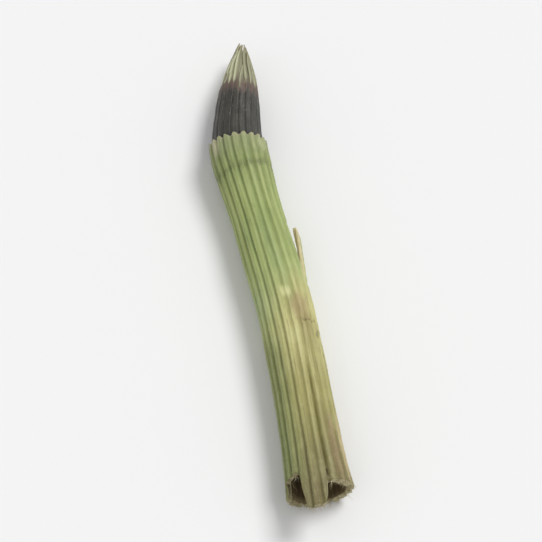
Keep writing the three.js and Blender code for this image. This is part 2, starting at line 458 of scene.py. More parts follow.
# The tube itself: one closed surface that starts at the middle of the node's wall, runs down the
# hollow, over the cut face with its canals, up the ribbed skin, and over the node into the torn
# stub of the next internode, which the sheath hides.
STRETCHES = {"node wall": 6, "bore": 52, "face": 12, "skin": 214, "shoulder": 6, "stub": 14, "tip": 4}
STUB_RADIUS = 1.45
STUB_LENGTH = 3.2
STUB_TAPER = 0.6
THINNEST_WALL = 0.25


def unroll(tree, columns, rows):
    """A grid to roll up, and how far across and along it each point lies, from 0 to 1."""
    grid = tree.nodes.new("GeometryNodeMeshGrid")
    feed(grid.inputs["Vertices X"], columns)
    feed(grid.inputs["Vertices Y"], rows)
    across, along, _ = parts(tree, grid.outputs["UV Map"])
    return grid.outputs["Mesh"], across, along


tube, given, made = new_tree(
    "cut stem",
    "GeometryNodeTree",
    {
        "Columns per Rib": 12,
        "Rows": sum(STRETCHES.values()) + 1,
        "Ribs": RIBS,
        "Length": LENGTH,
        "Bore Radius": BORE_RADIUS,
        "Canal Radius": CANAL_RADIUS,
        "Canal Depth": CANAL_DEPTH,
        "Skin": MATERIAL,
        "Cut Face": MATERIAL,
        "Bore": MATERIAL,
    },
    {"Geometry": GEOMETRY},
)
columns = given["Columns per Rib"] * given["Ribs"] + 1
grid, turn, share = unroll(tube, columns, given["Rows"])
around = turn * 2 * math.pi - math.pi / 2
row = share * (given["Rows"] - 1)
done = {}
first = 0
for title, rows in STRETCHES.items():
    done[title] = row.climb(first, first + rows)
    first += rows

ring = as_grown(tube, around, 1, 0.0)
cut_along = Number(use(tube, cut, Around=around)["Along"])
lip = 0.1 * cosine((around / PITCH - 0.5) * 2 * math.pi) + 0.22 * grain(tube, ring, 7, shift=1)
end_of_ribs = given["Length"] + lip
bore_share = 1 - (1 - done["bore"]) * (1 - done["bore"])
y = blend(bore_share, given["Length"] - NODE_WALL, cut_along)
y = blend(done["skin"], y, end_of_ribs)
y = y + done["shoulder"] * (given["Length"] + 0.1 - end_of_ribs) + done["stub"] * STUB_LENGTH
skin_here = use(tube, skin, Around=around, Along=y)
skin_out = Number(skin_here["Out"])
thinned = (y - cut_along).ramp(2.2, 0.2) * abs(around - FLAKE_AROUND).ramp(0.9, 0.5)
bore_out = given["Bore Radius"] * (1 + 0.05 * grain(tube, ring, 1.7, shift=4) + 0.1 * thinned)
bore_out = smaller(bore_out, skin_out - THINNEST_WALL)
out = done["node wall"] * bore_out + done["face"] * (skin_out - bore_out)
out = out + done["shoulder"] * (STUB_RADIUS - skin_out)
out = out - done["stub"] * STUB_TAPER - done["tip"] * (STUB_RADIUS - STUB_TAPER)

# Each furrow has an air canal behind it, half way through the wall. The grid's squares round it are
# drawn in to a circle.
half_wide = 0.32
wall_middle = 2.04
half_high = (skin_out - bore_out) / 2
cell_x = 2 * fraction(around / PITCH + 0.5) - 1
cell_y = 2 * done["face"] - 1
square = larger(abs(cell_x), abs(cell_y))
off = larger(root(cell_x * cell_x + cell_y * cell_y), 1e-4)
canal_size = given["Canal Radius"] * (1 + 0.35 * grain(tube, ring, 6, shift=8))
canal_size = smaller(canal_size, 0.6 * half_high)
pit_rim, pit_floor = 0.5, 0.34
outside = square.climb(pit_rim, 1)
depth = square.climb(pit_rim, pit_floor)
disc = smaller(square / pit_floor, 1)
canal_x = blend(outside, cell_x / off * canal_size * disc, cell_x / larger(square, 1e-4) * half_wide)
canal_y = blend(outside, cell_y / off * canal_size * disc, cell_y / larger(square, 1e-4) * half_high)
on_face = done["face"].ramp(0, 0.01) * done["face"].ramp(1, 0.99)
turned = around + on_face * (canal_x - cell_x * half_wide) / wall_middle
out = out + on_face * (canal_y - cell_y * half_high)
y = y + on_face * depth * given["Canal Depth"]

# The fibres tore unevenly, so the face and the last half millimetre of the wall are rough.
near_cut = (y - cut_along).ramp(0.7, 0) * done["bore"].ramp(0.5, 1)
place = as_grown(tube, turned, out, 0.0)
y = y + near_cut * (0.16 * grain(tube, place, 2.6, detail=3, shift=3) + 0.05 * grain(tube, place, 9))
inner_rough = done["bore"].ramp(0.02, 0.3) * (1 - done["face"])
out = out + inner_rough * 0.06 * grain(tube, as_grown(tube, around, 1, y * 0.08), 9)


def remember(tree, geometry, name, value, kind="FLOAT"):
    """Stores a value on the mesh, where its material reads it."""
    node = tree.nodes.new("GeometryNodeStoreNamedAttribute")
    node.data_type = kind
    node.inputs["Name"].default_value = name
    feed(node.inputs["Geometry"], geometry)
    feed(node.inputs["Value"], value)
    return node.outputs["Geometry"]


def recall(tree, name):
    """A value that was stored on the mesh."""
    node = tree.nodes.new("GeometryNodeInputNamedAttribute")
    node.inputs["Name"].default_value = name
    return Number(node.outputs["Attribute"])


def weld(tree, geometry, gap=1e-6):
    """Joins points that lie on one another, where a rolled grid's edges meet."""
    node = tree.nodes.new("GeometryNodeMergeByDistance")
    node.inputs["Distance"].default_value = gap
    tree.links.new(geometry, node.inputs["Geometry"])
    return node.outputs[0]


def finish_tree(tree, geometry, outlet, materials):
    """Shades smooth, realizes the instances and gives the materials. The first one goes everywhere."""
    smooth = tree.nodes.new("GeometryNodeSetShadeSmooth")
    realize = tree.nodes.new("GeometryNodeRealizeInstances")
    tree.links.new(geometry, realize.inputs[0])
    tree.links.new(realize.outputs[0], smooth.inputs["Geometry"])
    geometry = smooth.outputs[0]
    for material, selection in materials:
        node = tree.nodes.new("GeometryNodeSetMaterial")
        tree.links.new(geometry, node.inputs["Geometry"])
        feed(node.inputs["Material"], material)
        if selection is not None:
            feed(node.inputs["Selection"], selection)
        geometry = node.outputs["Geometry"]
    tree.links.new(geometry, outlet)


geometry = lay(tube, grid, turned, out, y)
geometry = remember(tube, geometry, "grown", as_grown(tube, around, out, y), "FLOAT_VECTOR")
geometry = remember(tube, geometry, "torn", Number(skin_here["Torn"]) * done["face"])
geometry = remember(tube, geometry, "canal", on_face * depth)
geometry = remember(tube, geometry, "row", row)
outwards = tube.nodes.new("GeometryNodeFlipFaces")
tube.links.new(geometry, outwards.inputs["Mesh"])
geometry = weld(tube, outwards.outputs[0])
stored_row = recall(tube, "row")
face_start = STRETCHES["node wall"] + STRETCHES["bore"]
face_end = face_start + STRETCHES["face"]
finish_tree(
    tube,
    geometry,
    made["Geometry"],
    [
        (given["Skin"], None),
        (given["Cut Face"], reckon(tube, "LESS_THAN", stored_row, face_end)),
        (given["Bore"], reckon(tube, "LESS_THAN", stored_row, face_start)),
    ],
)


def grow(name, tree, **values):
    """Runs a tree on an empty mesh and returns the plain mesh that it makes, as an object."""
    seed = bpy.data.objects.new(name + " seed", bpy.data.meshes.new(name + " seed"))
    bpy.context.scene.collection.objects.link(seed)
    modifier = seed.modifiers.new(name, "NODES")
    modifier.node_group = tree
    for item in tree.interface.items_tree:
        if item.in_out == "INPUT" and item.name in values:
            modifier[item.identifier] = values[item.name]
        elif item.in_out == "INPUT" and item.socket_type != MATERIAL:
            modifier[item.identifier] = item.default_value
    bpy.context.view_layer.update()
    ready = seed.evaluated_get(bpy.context.evaluated_depsgraph_get())
    mesh = bpy.data.meshes.new_from_object(ready)
    seed.modifiers.remove(modifier)
    bpy.data.objects.remove(seed)
    mesh.name = name
    piece = bpy.data.objects.new(name, mesh)
    bpy.context.scene.collection.objects.link(piece)
    return piece


def new_material(name, base, roughness):
    """A Principled material. base and roughness are what it has until something is plugged in."""
    material = bpy.data.materials.new(name)
    material.use_nodes = True
    shader = material.node_tree.nodes["Principled BSDF"]
    shader.inputs["Base Color"].default_value = (*base, 1)
    shader.inputs["Roughness"].default_value = roughness
    material.diffuse_color = (*base, 1)
    return material, material.node_tree, shader


def paint(code):
    """A colour from its chart code, in the linear values that a shader takes."""
    levels = [int(code[i : i + 2], 16) / 255 for i in (0, 2, 4)]
    return tuple(((v + 0.055) / 1.055) ** 2.4 if v > 0.04045 else v / 12.92 for v in levels)


def tint(tree, share, start, end):
    """A colour between start and end. Each is a chart code or another colour's socket."""
    node = tree.nodes.new("ShaderNodeMix")
    node.data_type = "RGBA"
    feed(node.inputs["Factor"], share)
    for socket, colour in zip((node.inputs[6], node.inputs[7]), (start, end)):
        feed(socket, (*paint(colour), 1) if isinstance(colour, str) else colour)
    return node.outputs[2]


def stored(tree, name):
    """A value that the mesh carries, as a vector's socket and as its three Numbers."""
    node = tree.nodes.new("ShaderNodeAttribute")
    node.attribute_name = name
    return node.outputs["Vector"], parts(tree, node.outputs["Vector"])


def dress(tree, shader, colour, roughness, height, depth):
    """Plugs a colour, a roughness and a bump into the shader. depth is in millimetres."""
    tree.links.new(colour, shader.inputs["Base Color"])
    feed(shader.inputs["Roughness"], roughness)
    bump = tree.nodes.new("ShaderNodeBump")
    bump.inputs["Distance"].default_value = depth / 1000
    feed(bump.inputs["Height"], height)
    tree.links.new(bump.outputs[0], shader.inputs["Normal"])


# Dried plant fibre, which every part of the piece shows: long streaks, fine dark threads between
# them, and the relief of both. Place is in millimetres, with the fibres along its second axis.
fibre, given, made = new_tree(
    "dried fibre",
    "ShaderNodeTree",
    {"Place": (0.0, 0.0, 0.0), "Per Millimetre": 4.0, "Stretch": 14.0},
    {"Streaks": NUMBER, "Threads": NUMBER, "Relief": NUMBER},
)
fineness, length = given["Per Millimetre"], given["Stretch"]
scaled = fibre.nodes.new("ShaderNodeVectorMath")
scaled.operation = "MULTIPLY"
fibre.links.new(given["Place"].socket, scaled.inputs[0])
fibre.links.new(vector(fibre, fineness, fineness / length, fineness), scaled.inputs[1])
streaks = grain(fibre, scaled.outputs[0], 1, detail=4)
threads = grain(fibre, scaled.outputs[0], 2.7, stretch=1.5, detail=3, shift=4)
feed(made["Streaks"], streaks)
feed(made["Threads"], threads.ramp(0.1, 0.5))
feed(made["Relief"], 0.5 + 0.5 * streaks - 0.4 * threads.ramp(0.0, 0.5))


def dried(tree, place, per_millimetre, stretch):
    """The streaks, the threads and the relief of dried fibre in a material."""
    values = {"Place": place, "Per Millimetre": per_millimetre, "Stretch": stretch}
    return [Number(socket) for socket in use(tree, fibre, **values)]


# The skin's colours. It dried olive green near the node and has faded to straw towards the cut
# end, on its right side first. Crests are paler than furrows. The furrows' darker colour is partly
# their own and partly painted shade in the grooves, and rows of pores dot the furrows.
OLIVE = "9dab66"
FRESH_GREEN = "8c9d5f"
YELLOW_GREEN = "b0b473"
STRAW = "c6c283"
OLD_STRAW = "a5a062"
BROWN_END = "7e7849"
STREAK_BROWN = "6c5a36"

stem_skin, tree, shader = new_material("stem skin", paint(OLIVE), 0.6)
grown, (across, along, up) = stored(tree, "grown")
streaks, threads, fibre_relief = dried(tree, grown, 3.2, 22.0)
right = across / RADIUS
left = right.ramp(-0.1, -0.9)
around = reckon(tree, "ARCTAN2", up, across)
from_node = LENGTH - along
crest = 1 - abs(2 * fraction(around / PITCH) - 1)
patches = grain(tree, grown, 0.55, stretch=3.5, detail=3)
rib_to_rib = grain(tree, grown, 1.5, stretch=45, shift=11)
colour = tint(tree, patches.ramp(0.0, 0.55), OLIVE, FRESH_GREEN)
colour = tint(tree, (rib_to_rib + patches * 0.3).ramp(-0.1, -0.6), colour, YELLOW_GREEN)
turning = 15.4 - 2.0 * right + 4.0 * grain(tree, grown, 0.8, stretch=5, detail=3, shift=2)
# The left side fades less: partly its own greener colour, partly painted shade on the left flank.
faded = from_node.ramp(turning - 2.6, turning + 2.4) * (1 - 0.65 * left)
straw = tint(tree, from_node.ramp(18.5, 25), STRAW, OLD_STRAW)
straw = tint(tree, from_node.ramp(25, 32), straw, BROWN_END)
colour = tint(tree, faded, colour, straw)


def tint_both(share, start, on_green, on_straw):
    """A colour between start and the end that green skin has, or the end that faded skin has."""
    return tint(tree, share, start, tint(tree, faded, on_green, on_straw))


brown = threads * (0.2 + 0.6 * faded) + 0.5 * faded * (rib_to_rib + streaks).ramp(0.3, 0.8)
colour = tint(tree, brown * 0.75, colour, STREAK_BROWN)
# Painted shade, with the skin's own darker green: the furrows are darker.
furrow = crest.ramp(0.5, 0.1)
deep = 0.26 + 0.3 * grain(tree, grown, 0.9, stretch=12) + 0.2 * streaks
colour = tint_both(furrow * deep, colour, "5c6b45", "75663f")
ridge = crest.ramp(0.62, 0.92)
colour = tint_both(ridge * (0.15 + 0.35 * streaks), colour, "c3cb92", "d3ca92")
# Painted shade: the left flank is darker towards the cut end.
colour = tint(tree, left * from_node.ramp(17.5, 21) * 0.4, colour, "667043")
colour = tint(tree, left * from_node.bell(16, 1.6) * 0.4, colour, "bfcb98")
colour = tint(tree, from_node.bell(13.4, 1.3) * 0.25, colour, "c5d08e")
clouds = grain(tree, grown, 0.9, stretch=2, detail=3, shift=21)
colour = tint_both(clouds.ramp(0.0, 0.6) * 0.4, colour, "78874f", "92885a")
colour = tint_both(clouds.ramp(0.0, -0.6) * 0.35, colour, "b4bd84", "d0cb94")
mottled = grain(tree, grown, 3.2, stretch=3, detail=4, shift=14)
colour = tint_both(mottled.ramp(0.1, 0.6) * 0.35, colour, "71834e", "857647")
colour = tint_both(mottled.ramp(-0.1, -0.6) * 0.3, colour, "bdc68e", "d2ca98")

# Pores: two rows of pale dots in each furrow.
pore_across = abs(abs(crest - 0.2) - 0.07) / 0.06
pore_along = abs(fraction(along / 0.13 + 3 * crest + 2.2 * rib_to_rib + 0.8 * streaks) - 0.5) / 0.3
pore = (pore_across * pore_across + pore_along * pore_along).ramp(1.0, 0.3) * (0.6 + streaks)
colour = tint(tree, pore * 0.3, colour, "c9cdb4")

# The collar under the node is greyer and ends at a thin dark ring, partly the skin's own colour and
# partly painted shade in the shallow groove there.
colour = tint(tree, from_node.ramp(2.6, 0.4) * 0.45, colour, "96987c")
colour = tint(tree, from_node.bell(2.4, 2.0) * (0.3 + 0.4 * mottled), colour, "66714a")
# Painted shade, with the skin's own dark band: the ring over the collar groove.
ring = from_node + 0.25 * rib_to_rib + 0.15 * streaks
colour = tint(tree, ring.bell(2.95, 0.3) * (0.4 + 0.9 * mottled), colour, "656a40")

# The scar and the torn rib have left marks of their own, and a reddish streak and a pale one run up
# from the cut end. The last, darker mark is painted shade along the crack. Each mark has its degrees
# round the stem, its distance from the node, its half width and half length, how strong it is, and
# its colour.
MARKS = [
    (61, 17.0, 0.9, 1.5, 0.6, "a68d6a"),
    (86, 15.5, 0.45, 0.6, 0.8, "dddda4"),
    (86, 19.5, 0.8, 0.9, 0.5, "d2ce94"),
    (54, 19.6, 0.9, 2.2, 0.55, "968c58"),
    (150, 0.6, 0.5, 0.8, 0.7, "cfc9a8"),
    (40, 0.9, 0.5, 0.9, 0.6, "c6c79a"),
    (44, 30.2, 0.6, 3.6, 0.45, "8f7056"),
    (17, 30, 0.55, 3.8, 0.8, "cbb98f"),
    # Painted shade along the crack:
    (62, 27, 0.5, 2.0, 0.45, "7f7645"),
]
for degrees, distance, half_width, half_length, strength, stain in MARKS:
    off_across = (around - math.radians(degrees)) * RADIUS / half_width
    off_along = (from_node - distance) / half_length
    off = off_across * off_across + off_along * off_along + 1.1 * mottled + 0.9 * streaks
    colour = tint(tree, off.ramp(1.6, -0.2) * strength, colour, stain)

# The skin is bruised along the crease. A thin dark line down its middle is partly a tear and partly
# painted shade in the groove. A darker patch on the right flank is painted shadow, and fine dark
# specks lie all over.
in_crease, off_crease = crease_near(tree, around, along, grown)
colour = tint(tree, in_crease * off_crease.ramp(1.1, 0.1) * (0.3 + mottled), colour, "94804e")
# Painted shade, with the tear: the thin dark line in the crease's groove.
colour = tint(tree, in_crease * off_crease.ramp(0.17, 0.02) * (0.55 + 1.2 * streaks), colour, "5f4d30")
# Painted shadow: a dark patch on the right flank, which also raises the bump a little.
painted_shadow_patch = grain(tree, grown, 2.4, stretch=2.5, detail=4, shift=6)
painted_shadow_patch = painted_shadow_patch.ramp(0.0, 0.4) * right.ramp(0.72, 0.96) * from_node.bell(19.5, 3.5)
colour = tint(tree, painted_shadow_patch * 0.8, colour, "4a3d28")
specks = grain(tree, grown, 5, stretch=1.5, shift=9).ramp(0.52, 0.66)
colour = tint(tree, specks * 0.6, colour, "57502f")

# Both ends dried pale at the rim, and the skin darkens towards the cut end. The torn rib left bare
# fibre, and the warts shine through paler.
rim = from_node.ramp(0.45, 0.05) * (0.45 + streaks + mottled)
colour = tint(tree, rim, colour, "a8a184")
cut_rim = along.ramp(0.9, 0.15) * (0.3 + streaks + mottled)
colour = tint(tree, cut_rim * 0.4, colour, "b9ad80")
colour = tint(tree, along.ramp(2.4, -0.6) * (0.5 + mottled), colour, "6f6543")
_, (torn, _, _) = stored(tree, "torn")
colour = tint(tree, torn, colour, tint(tree, threads * 0.6 + 0.4 * streaks, "d6ca9e", "8b7145"))
_, (wart, _, _) = stored(tree, "wart")
colour = tint(tree, wart * 0.3, colour, "dfe0c8")
dull = 0.62 + 0.12 * furrow - 0.1 * ridge + 0.12 * streaks - 0.2 * wart
fine = grain(tree, grown, 22, stretch=2, shift=3)
relief = fibre_relief + 0.3 * fine + 0.35 * pore + 0.25 * painted_shadow_patch
dress(tree, shader, colour, dull, relief, 0.028)
shader.inputs["Specular IOR Level"].default_value = 0.45

# The cut face: pale, dry pith and fibre, darker where the blade bruised it. It is also painted darker
# down the canals and on its left side, as shade.
cut_face, tree, shader = new_material("cut face", paint("bcb38b"), 0.85)
grown, (across, _, up) = stored(tree, "grown")
streaks, _, fibre_relief = dried(tree, grown, 9.0, 6.0)
outward = root(across * across + up * up)
bruise = grain(tree, grown, 1.3, detail=3, shift=5)
colour = tint(tree, 0.5 + streaks, "cdc6a4", "a89c70")
colour = tint(tree, outward.ramp(BORE_RADIUS + 0.12, BORE_RADIUS - 0.02) * 0.5, colour, "9a8455")
colour = tint(tree, outward.ramp(RADIUS - 0.2, RADIUS - 0.05) * 0.4, colour, "aeae80")
colour = tint(tree, bruise.ramp(0.0, 0.5) * 0.65, colour, "74633f")
# Painted shade: the left side of the face is darker.
colour = tint(tree, (across / RADIUS).ramp(0.1, -0.9) * 0.45, colour, "77714f")
# Painted shade: darker down inside the canals.
_, (canal, _, _) = stored(tree, "canal")
colour = tint(tree, canal.ramp(0.0, 0.8) * 0.9, colour, "4b3b22")
dress(tree, shader, colour, 0.85 + 0.1 * streaks, fibre_relief, 0.05)

# The hollow: what is left of the pith lines it, brown and dusty, in long shreds. Its browns are
# painted dark, as the shade deep in the bore.
hollow, tree, shader = new_material("hollow", paint("5a4a2a"), 0.9)
grown, (_, along, _) = stored(tree, "grown")
streaks, threads, fibre_relief = dried(tree, grown, 3.5, 10.0)
# Painted shade: the lining's browns are kept dark.
colour = tint(tree, 0.5 + 1.2 * streaks, "43361d", "6d5b38")
colour = tint(tree, threads * 0.6, colour, "2a200f")
colour = tint(tree, along.ramp(0.7, 0.1) * 0.4, colour, "b3a47a")
dress(tree, shader, colour, 0.9 + 0.08 * streaks, fibre_relief, 0.05)

stem = grow("cut_stem", tube, **{"Skin": stem_skin, "Cut Face": cut_face, "Bore": hollow})
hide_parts("stem")
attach(stem, "root")

# ---- the silica warts ----
# The skin's grit: beads of glassy silica that the plant lays down in two rows along each rib. They
# are what made the stem a scouring rush. Some have rubbed off, as have all where the piece rests.


def chance(tree, low, high, place, seed):
    """A random number for each whole value of place."""
    node = tree.nodes.new("FunctionNodeRandomValue")
    node.data_type = "FLOAT"
    sockets = {socket.identifier: socket for socket in node.inputs}
    feed(sockets["Min_001"], low)
    feed(sockets["Max_001"], high)
    feed(sockets["ID"], place)
    feed(sockets["Seed"], seed)
    return Number(node.outputs[1])


def scatter(tree, count):
    """Loose points, and the number that each of them has."""
    node = tree.nodes.new("GeometryNodePoints")
    feed(node.inputs["Count"], count)
    return node.outputs[0], Number(tree.nodes.new("GeometryNodeInputIndex").outputs[0])


def plant(tree, points, shape, **values):
    """A copy of the shape on each point."""
    node = tree.nodes.new("GeometryNodeInstanceOnPoints")
    for title, value in {"Points": points, "Instance": shape, **values}.items():
        feed(node.inputs[title], value)
    return node.outputs[0]


grit, given, made = new_tree(
    "silica warts",
    "GeometryNodeTree",
    {
        "Rows": 2 * RIBS,
        "Warts per Row": 240,
        "Length": LENGTH,
        "Off Crest": 0.2,
        "Size": 0.034,
        "Rubbed Off": 0.12,
        "Seed": 3,
        "Skin": MATERIAL,
    },
    {"Geometry": GEOMETRY},
)
points, number = scatter(grit, given["Rows"] * given["Warts per Row"])
row = reckon(grit, "FLOOR", (number + 0.5) / given["Warts per Row"])
in_row = number - row * given["Warts per Row"]
rib = reckon(grit, "FLOOR", (row + 0.5) / 2)
side = 2 * (row - 2 * rib) - 1
seed = given["Seed"]
aside = chance(grit, -0.05, 0.05, number, seed)
around = (rib + 0.5 + side * given["Off Crest"] + aside) * PITCH - math.pi / 2
step = (in_row + 0.5 + chance(grit, -0.3, 0.3, number, seed + 1)) / given["Warts per Row"]
along = blend(step, -1.6, given["Length"] - 0.1)
skin_here = use(grit, skin, Around=around, Along=along)
blade_at = Number(use(grit, cut, Around=around)["Along"])
kept = reckon(grit, "GREATER_THAN", chance(grit, 0.0, 1.0, number, seed + 2), given["Rubbed Off"])
kept = kept * reckon(grit, "GREATER_THAN", along, blade_at + 0.15)
kept = kept * reckon(grit, "LESS_THAN", Number(skin_here["Torn"]), 0.1)
kept = kept * reckon(grit, "GREATER_THAN", sine(around), -0.93)
geometry = lay(grit, points, around, skin_here["Out"], along)
place = as_grown(grit, around, RADIUS, along)
geometry = remember(grit, geometry, "grown", place, "FLOAT_VECTOR")
geometry = remember(grit, geometry, "wart", kept)
bead = grit.nodes.new("GeometryNodeMeshUVSphere")
bead.inputs["Segments"].default_value = 5
bead.inputs["Rings"].default_value = 3
feed(bead.inputs["Radius"], given["Size"] / 1000)
size = chance(grit, 0.55, 1.25, number, seed + 3)
size = vector(grit, size, size * 1.25, size)
on_ribs = plant(grit, geometry, bead.outputs["Mesh"], Selection=kept, Scale=size)
finish_tree(grit, on_ribs, made["Geometry"], [(given["Skin"], None)])

beads = grow("silica_warts", grit, Skin=stem_skin)
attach(beads, "root")

# ---- the torn fibres ----
# Where the wall was cut or torn, single fibres still stand out of it, thin as hairs and bleached.
# One tree makes them, and each place where the wall is torn runs it with sizes of its own.

fibres_tree, given, made = new_tree(
    "torn fibres",
    "GeometryNodeTree",
    {
        "Count": 40,
        "From Angle": 0.0,
        "To Angle": 2 * math.pi,
        "From Out": BORE_RADIUS,
        "To Out": RADIUS,
        "From Along": 0.0,
        "To Along": 0.0,
        "At Cut": 1.0,
        "Direction": -1.0,
        "Longest": 0.9,
        "Thickness": 0.022,
        "Splay": 0.5,
        "Seed": 1,
        "Fibre": MATERIAL,
    },
    {"Geometry": GEOMETRY},
)
points, number = scatter(fibres_tree, given["Count"])
seed = given["Seed"]
around = chance(fibres_tree, given["From Angle"], given["To Angle"], number, seed)
out = chance(fibres_tree, given["From Out"], given["To Out"], number, seed + 1)
along = chance(fibres_tree, given["From Along"], given["To Along"], number, seed + 2)
blade_at = Number(use(fibres_tree, cut, Around=around)["Along"])
along = along + given["At Cut"] * blade_at
roots = lay(fibres_tree, points, around, out, along)
hair = fibres_tree.nodes.new("GeometryNodeMeshCone")
hair.inputs["Vertices"].default_value = 5
hair.inputs["Side Segments"].default_value = 6
hair.inputs["Radius Top"].default_value = 0
feed(hair.inputs["Radius Bottom"], given["Thickness"] / 1000)
hair.inputs["Depth"].default_value = 0.001
place = fibres_tree.nodes.new("GeometryNodeInputPosition").outputs[0]
x, y, z = parts(fibres_tree, place)
along_hair = z * 1000
hair_bend, hair_kink = 0.0003, 0.00004
bend_off = vector(fibres_tree, along_hair**2 * hair_bend, sine(along_hair * 5) * hair_kink, 0.0)
curved = move(fibres_tree, hair.outputs["Mesh"], bend_off, "Offset")
from_side = given["Splay"] * chance(fibres_tree, -0.5, 1.0, number, seed + 3)
stray = given["Splay"] * chance(fibres_tree, -0.7, 0.7, number, seed + 4)
heading = vector(
    fibres_tree,
    cosine(around) * from_side - sine(around) * stray,
    given["Direction"],
    sine(around) * from_side + cosine(around) * stray,
)
aim = fibres_tree.nodes.new("FunctionNodeAlignRotationToVector")
aim.axis = "Z"
fibres_tree.links.new(heading, aim.inputs["Vector"])
roll = fibres_tree.nodes.new("FunctionNodeRotateRotation")
roll.rotation_space = "LOCAL"
fibres_tree.links.new(aim.outputs[0], roll.inputs[0])
about_itself = vector(fibres_tree, 0.0, 0.0, chance(fibres_tree, 0.0, 6.28, number, seed + 5))
to_rotation = fibres_tree.nodes.new("FunctionNodeEulerToRotation")
fibres_tree.links.new(about_itself, to_rotation.inputs[0])
fibres_tree.links.new(to_rotation.outputs[0], roll.inputs[1])
long = chance(fibres_tree, 0.2, 1.0, number, seed + 6) ** 2 * given["Longest"]
thick = chance(fibres_tree, 0.5, 1.3, number, seed + 7)
size = vector(fibres_tree, thick, thick, long)
standing = plant(fibres_tree, roots, curved, Rotation=roll.outputs[0], Scale=size)

# None of them reaches below what the piece lies on.
realized = fibres_tree.nodes.new("GeometryNodeRealizeInstances")
fibres_tree.links.new(standing, realized.inputs[0])
lowest, softness = 0.00002, 0.00003
above = reckon(fibres_tree, "SMOOTH_MAX", z, lowest, softness)
lifted = move(fibres_tree, realized.outputs[0], vector(fibres_tree, x, y, above))
finish_tree(fibres_tree, lifted, made["Geometry"], [(given["Fibre"], None)])

bleached, tree, shader = new_material("bleached fibre", paint("c9bd93"), 0.8)
place = tree.nodes.new("ShaderNodeTexCoord")
colour = tint(tree, 0.5 + grain(tree, place.outputs["Object"], 1400), "a8935f", "ddd5b2")
tree.links.new(colour, shader.inputs["Base Color"])

cut_fibres = grow("cut_fibres", fibres_tree, **{"Count": 150, "Fibre": bleached})
bed = {
    "Count": 60,
    "From Angle": SPLINTER_AROUND - 0.1,
    "To Angle": SPLINTER_AROUND + 0.1,
    "From Out": RADIUS - 0.35,
    "To Out": RADIUS - 0.2,
    "From Along": SPLINTER_ROOT + 0.2,
    "To Along": SPLINTER_TIP + 0.6,
    "At Cut": 0.0,
    "Direction": 1.0,
    "Longest": 1.0,
    "Thickness": 0.02,
    "Splay": 0.35,
    "Seed": 20,
    "Fibre": bleached,
}
tear_fibres = grow("tear_fibres", fibres_tree, **bed)
for loose in (cut_fibres, tear_fibres):
    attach(loose, "root")

# ---- the splinter ----
# A rib of the wall that tore loose when the stem was handled. It is still rooted by the scar, and
# its free end has dried a little way off the stem. Skin covers its outside, and its inside is bare
# fibre.

splinter, given, made = new_tree(
    "splinter",
    "GeometryNodeTree",
    {
        "Columns": 28,
        "Rows": 130,
        "Root": SPLINTER_ROOT - 0.7,
        "Tip": SPLINTER_TIP,
        "Lift": 0.7,
        "Half Width": 0.29,
        "Half Thickness": 0.24,
        "Skin": MATERIAL,
    },
    {"Geometry": GEOMETRY},
)
grid, turn, share = unroll(splinter, given["Columns"] + 1, given["Rows"])
turn = turn * 2 * math.pi
free = share.climb(0.14, 1)
sides, faces = cosine(turn), sine(turn)
body = share.climb(0, 0.02) * share.climb(1, 0.86) ** 0.6
ring = vector(splinter, sides, share * 9, faces)
shreds = grain(splinter, ring, 2.2, stretch=3, detail=4)
wide = given["Half Width"] * (1 - 0.3 * free) * (1 + 0.35 * shreds) * body
thick = given["Half Thickness"] * (1 - 0.2 * free) * (1 + 0.4 * shreds) * body
sidewise = sides * wide + 0.05 * grain(splinter, vector(splinter, 0.0, share, 0.0), 3, shift=2)
outwards = reckon(splinter, "SIGN", faces) * abs(faces) ** 0.6 * thick
curl = 0.5 * free
tilted_side = sidewise * cosine(curl) - outwards * sine(curl)
tilted_out = sidewise * sine(curl) + outwards * cosine(curl)
seat = RADIUS - 0.2 + given["Lift"] * free**0.9 - 0.15 * share.ramp(0.14, 0)
ragged = 0.8 * grain(splinter, vector(splinter, sides, 0.0, faces), 2.8, detail=3, shift=5)
ragged = (ragged - 0.35 * sides) * share.ramp(0.6, 0.9) * share.ramp(1, 0.9)
along = blend(share, given["Root"], given["Tip"]) + ragged
around = SPLINTER_AROUND + tilted_side / RADIUS
geometry = lay(splinter, grid, around, seat + tilted_out, along)
place = as_grown(splinter, around, RADIUS, along)
geometry = remember(splinter, geometry, "grown", place, "FLOAT_VECTOR")
geometry = remember(splinter, geometry, "torn", (faces + 0.5 * shreds).ramp(0.75, 0.2))
finish_tree(splinter, weld(splinter, geometry), made["Geometry"], [(given["Skin"], None)])

loose_rib = grow("splinter", splinter, Skin=stem_skin)
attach(loose_rib, "root")

# ---- the leaf sheath ----
# The node's whorl of twenty small leaves, grown together by their edges into a cup with free teeth.
# The next internode has pulled out of it, so it has dried into a pointed cone. It is thin and
# papery: purple-black below, and pale where only the leaves' dry margins are left.

sheath, given, made = new_tree(
    "leaf sheath",
    "GeometryNodeTree",
    {
        "Leaves": RIBS,
        "Columns per Leaf": 10,
        "Rows": 120,
        "Foot": LENGTH - 0.12,
        "Length": 10.0,
        "Split": 5.0,
        "Foot Radius": 2.06,
        "Shoulder Radius": 1.58,
        "Tip Radius": 0.12,
        "Seed": 7,
        "Leaf": MATERIAL,
    },
    {"Geometry": GEOMETRY},
)
per_leaf = given["Columns per Leaf"] + 1
columns = given["Leaves"] * per_leaf
grid, turn, share = unroll(sheath, columns, given["Rows"])
column = reckon(sheath, "ROUND", turn * (columns - 1))
leaf = reckon(sheath, "FLOOR", (column + 0.5) / per_leaf)
across = 2 * (column - leaf * per_leaf) / given["Columns per Leaf"] - 1

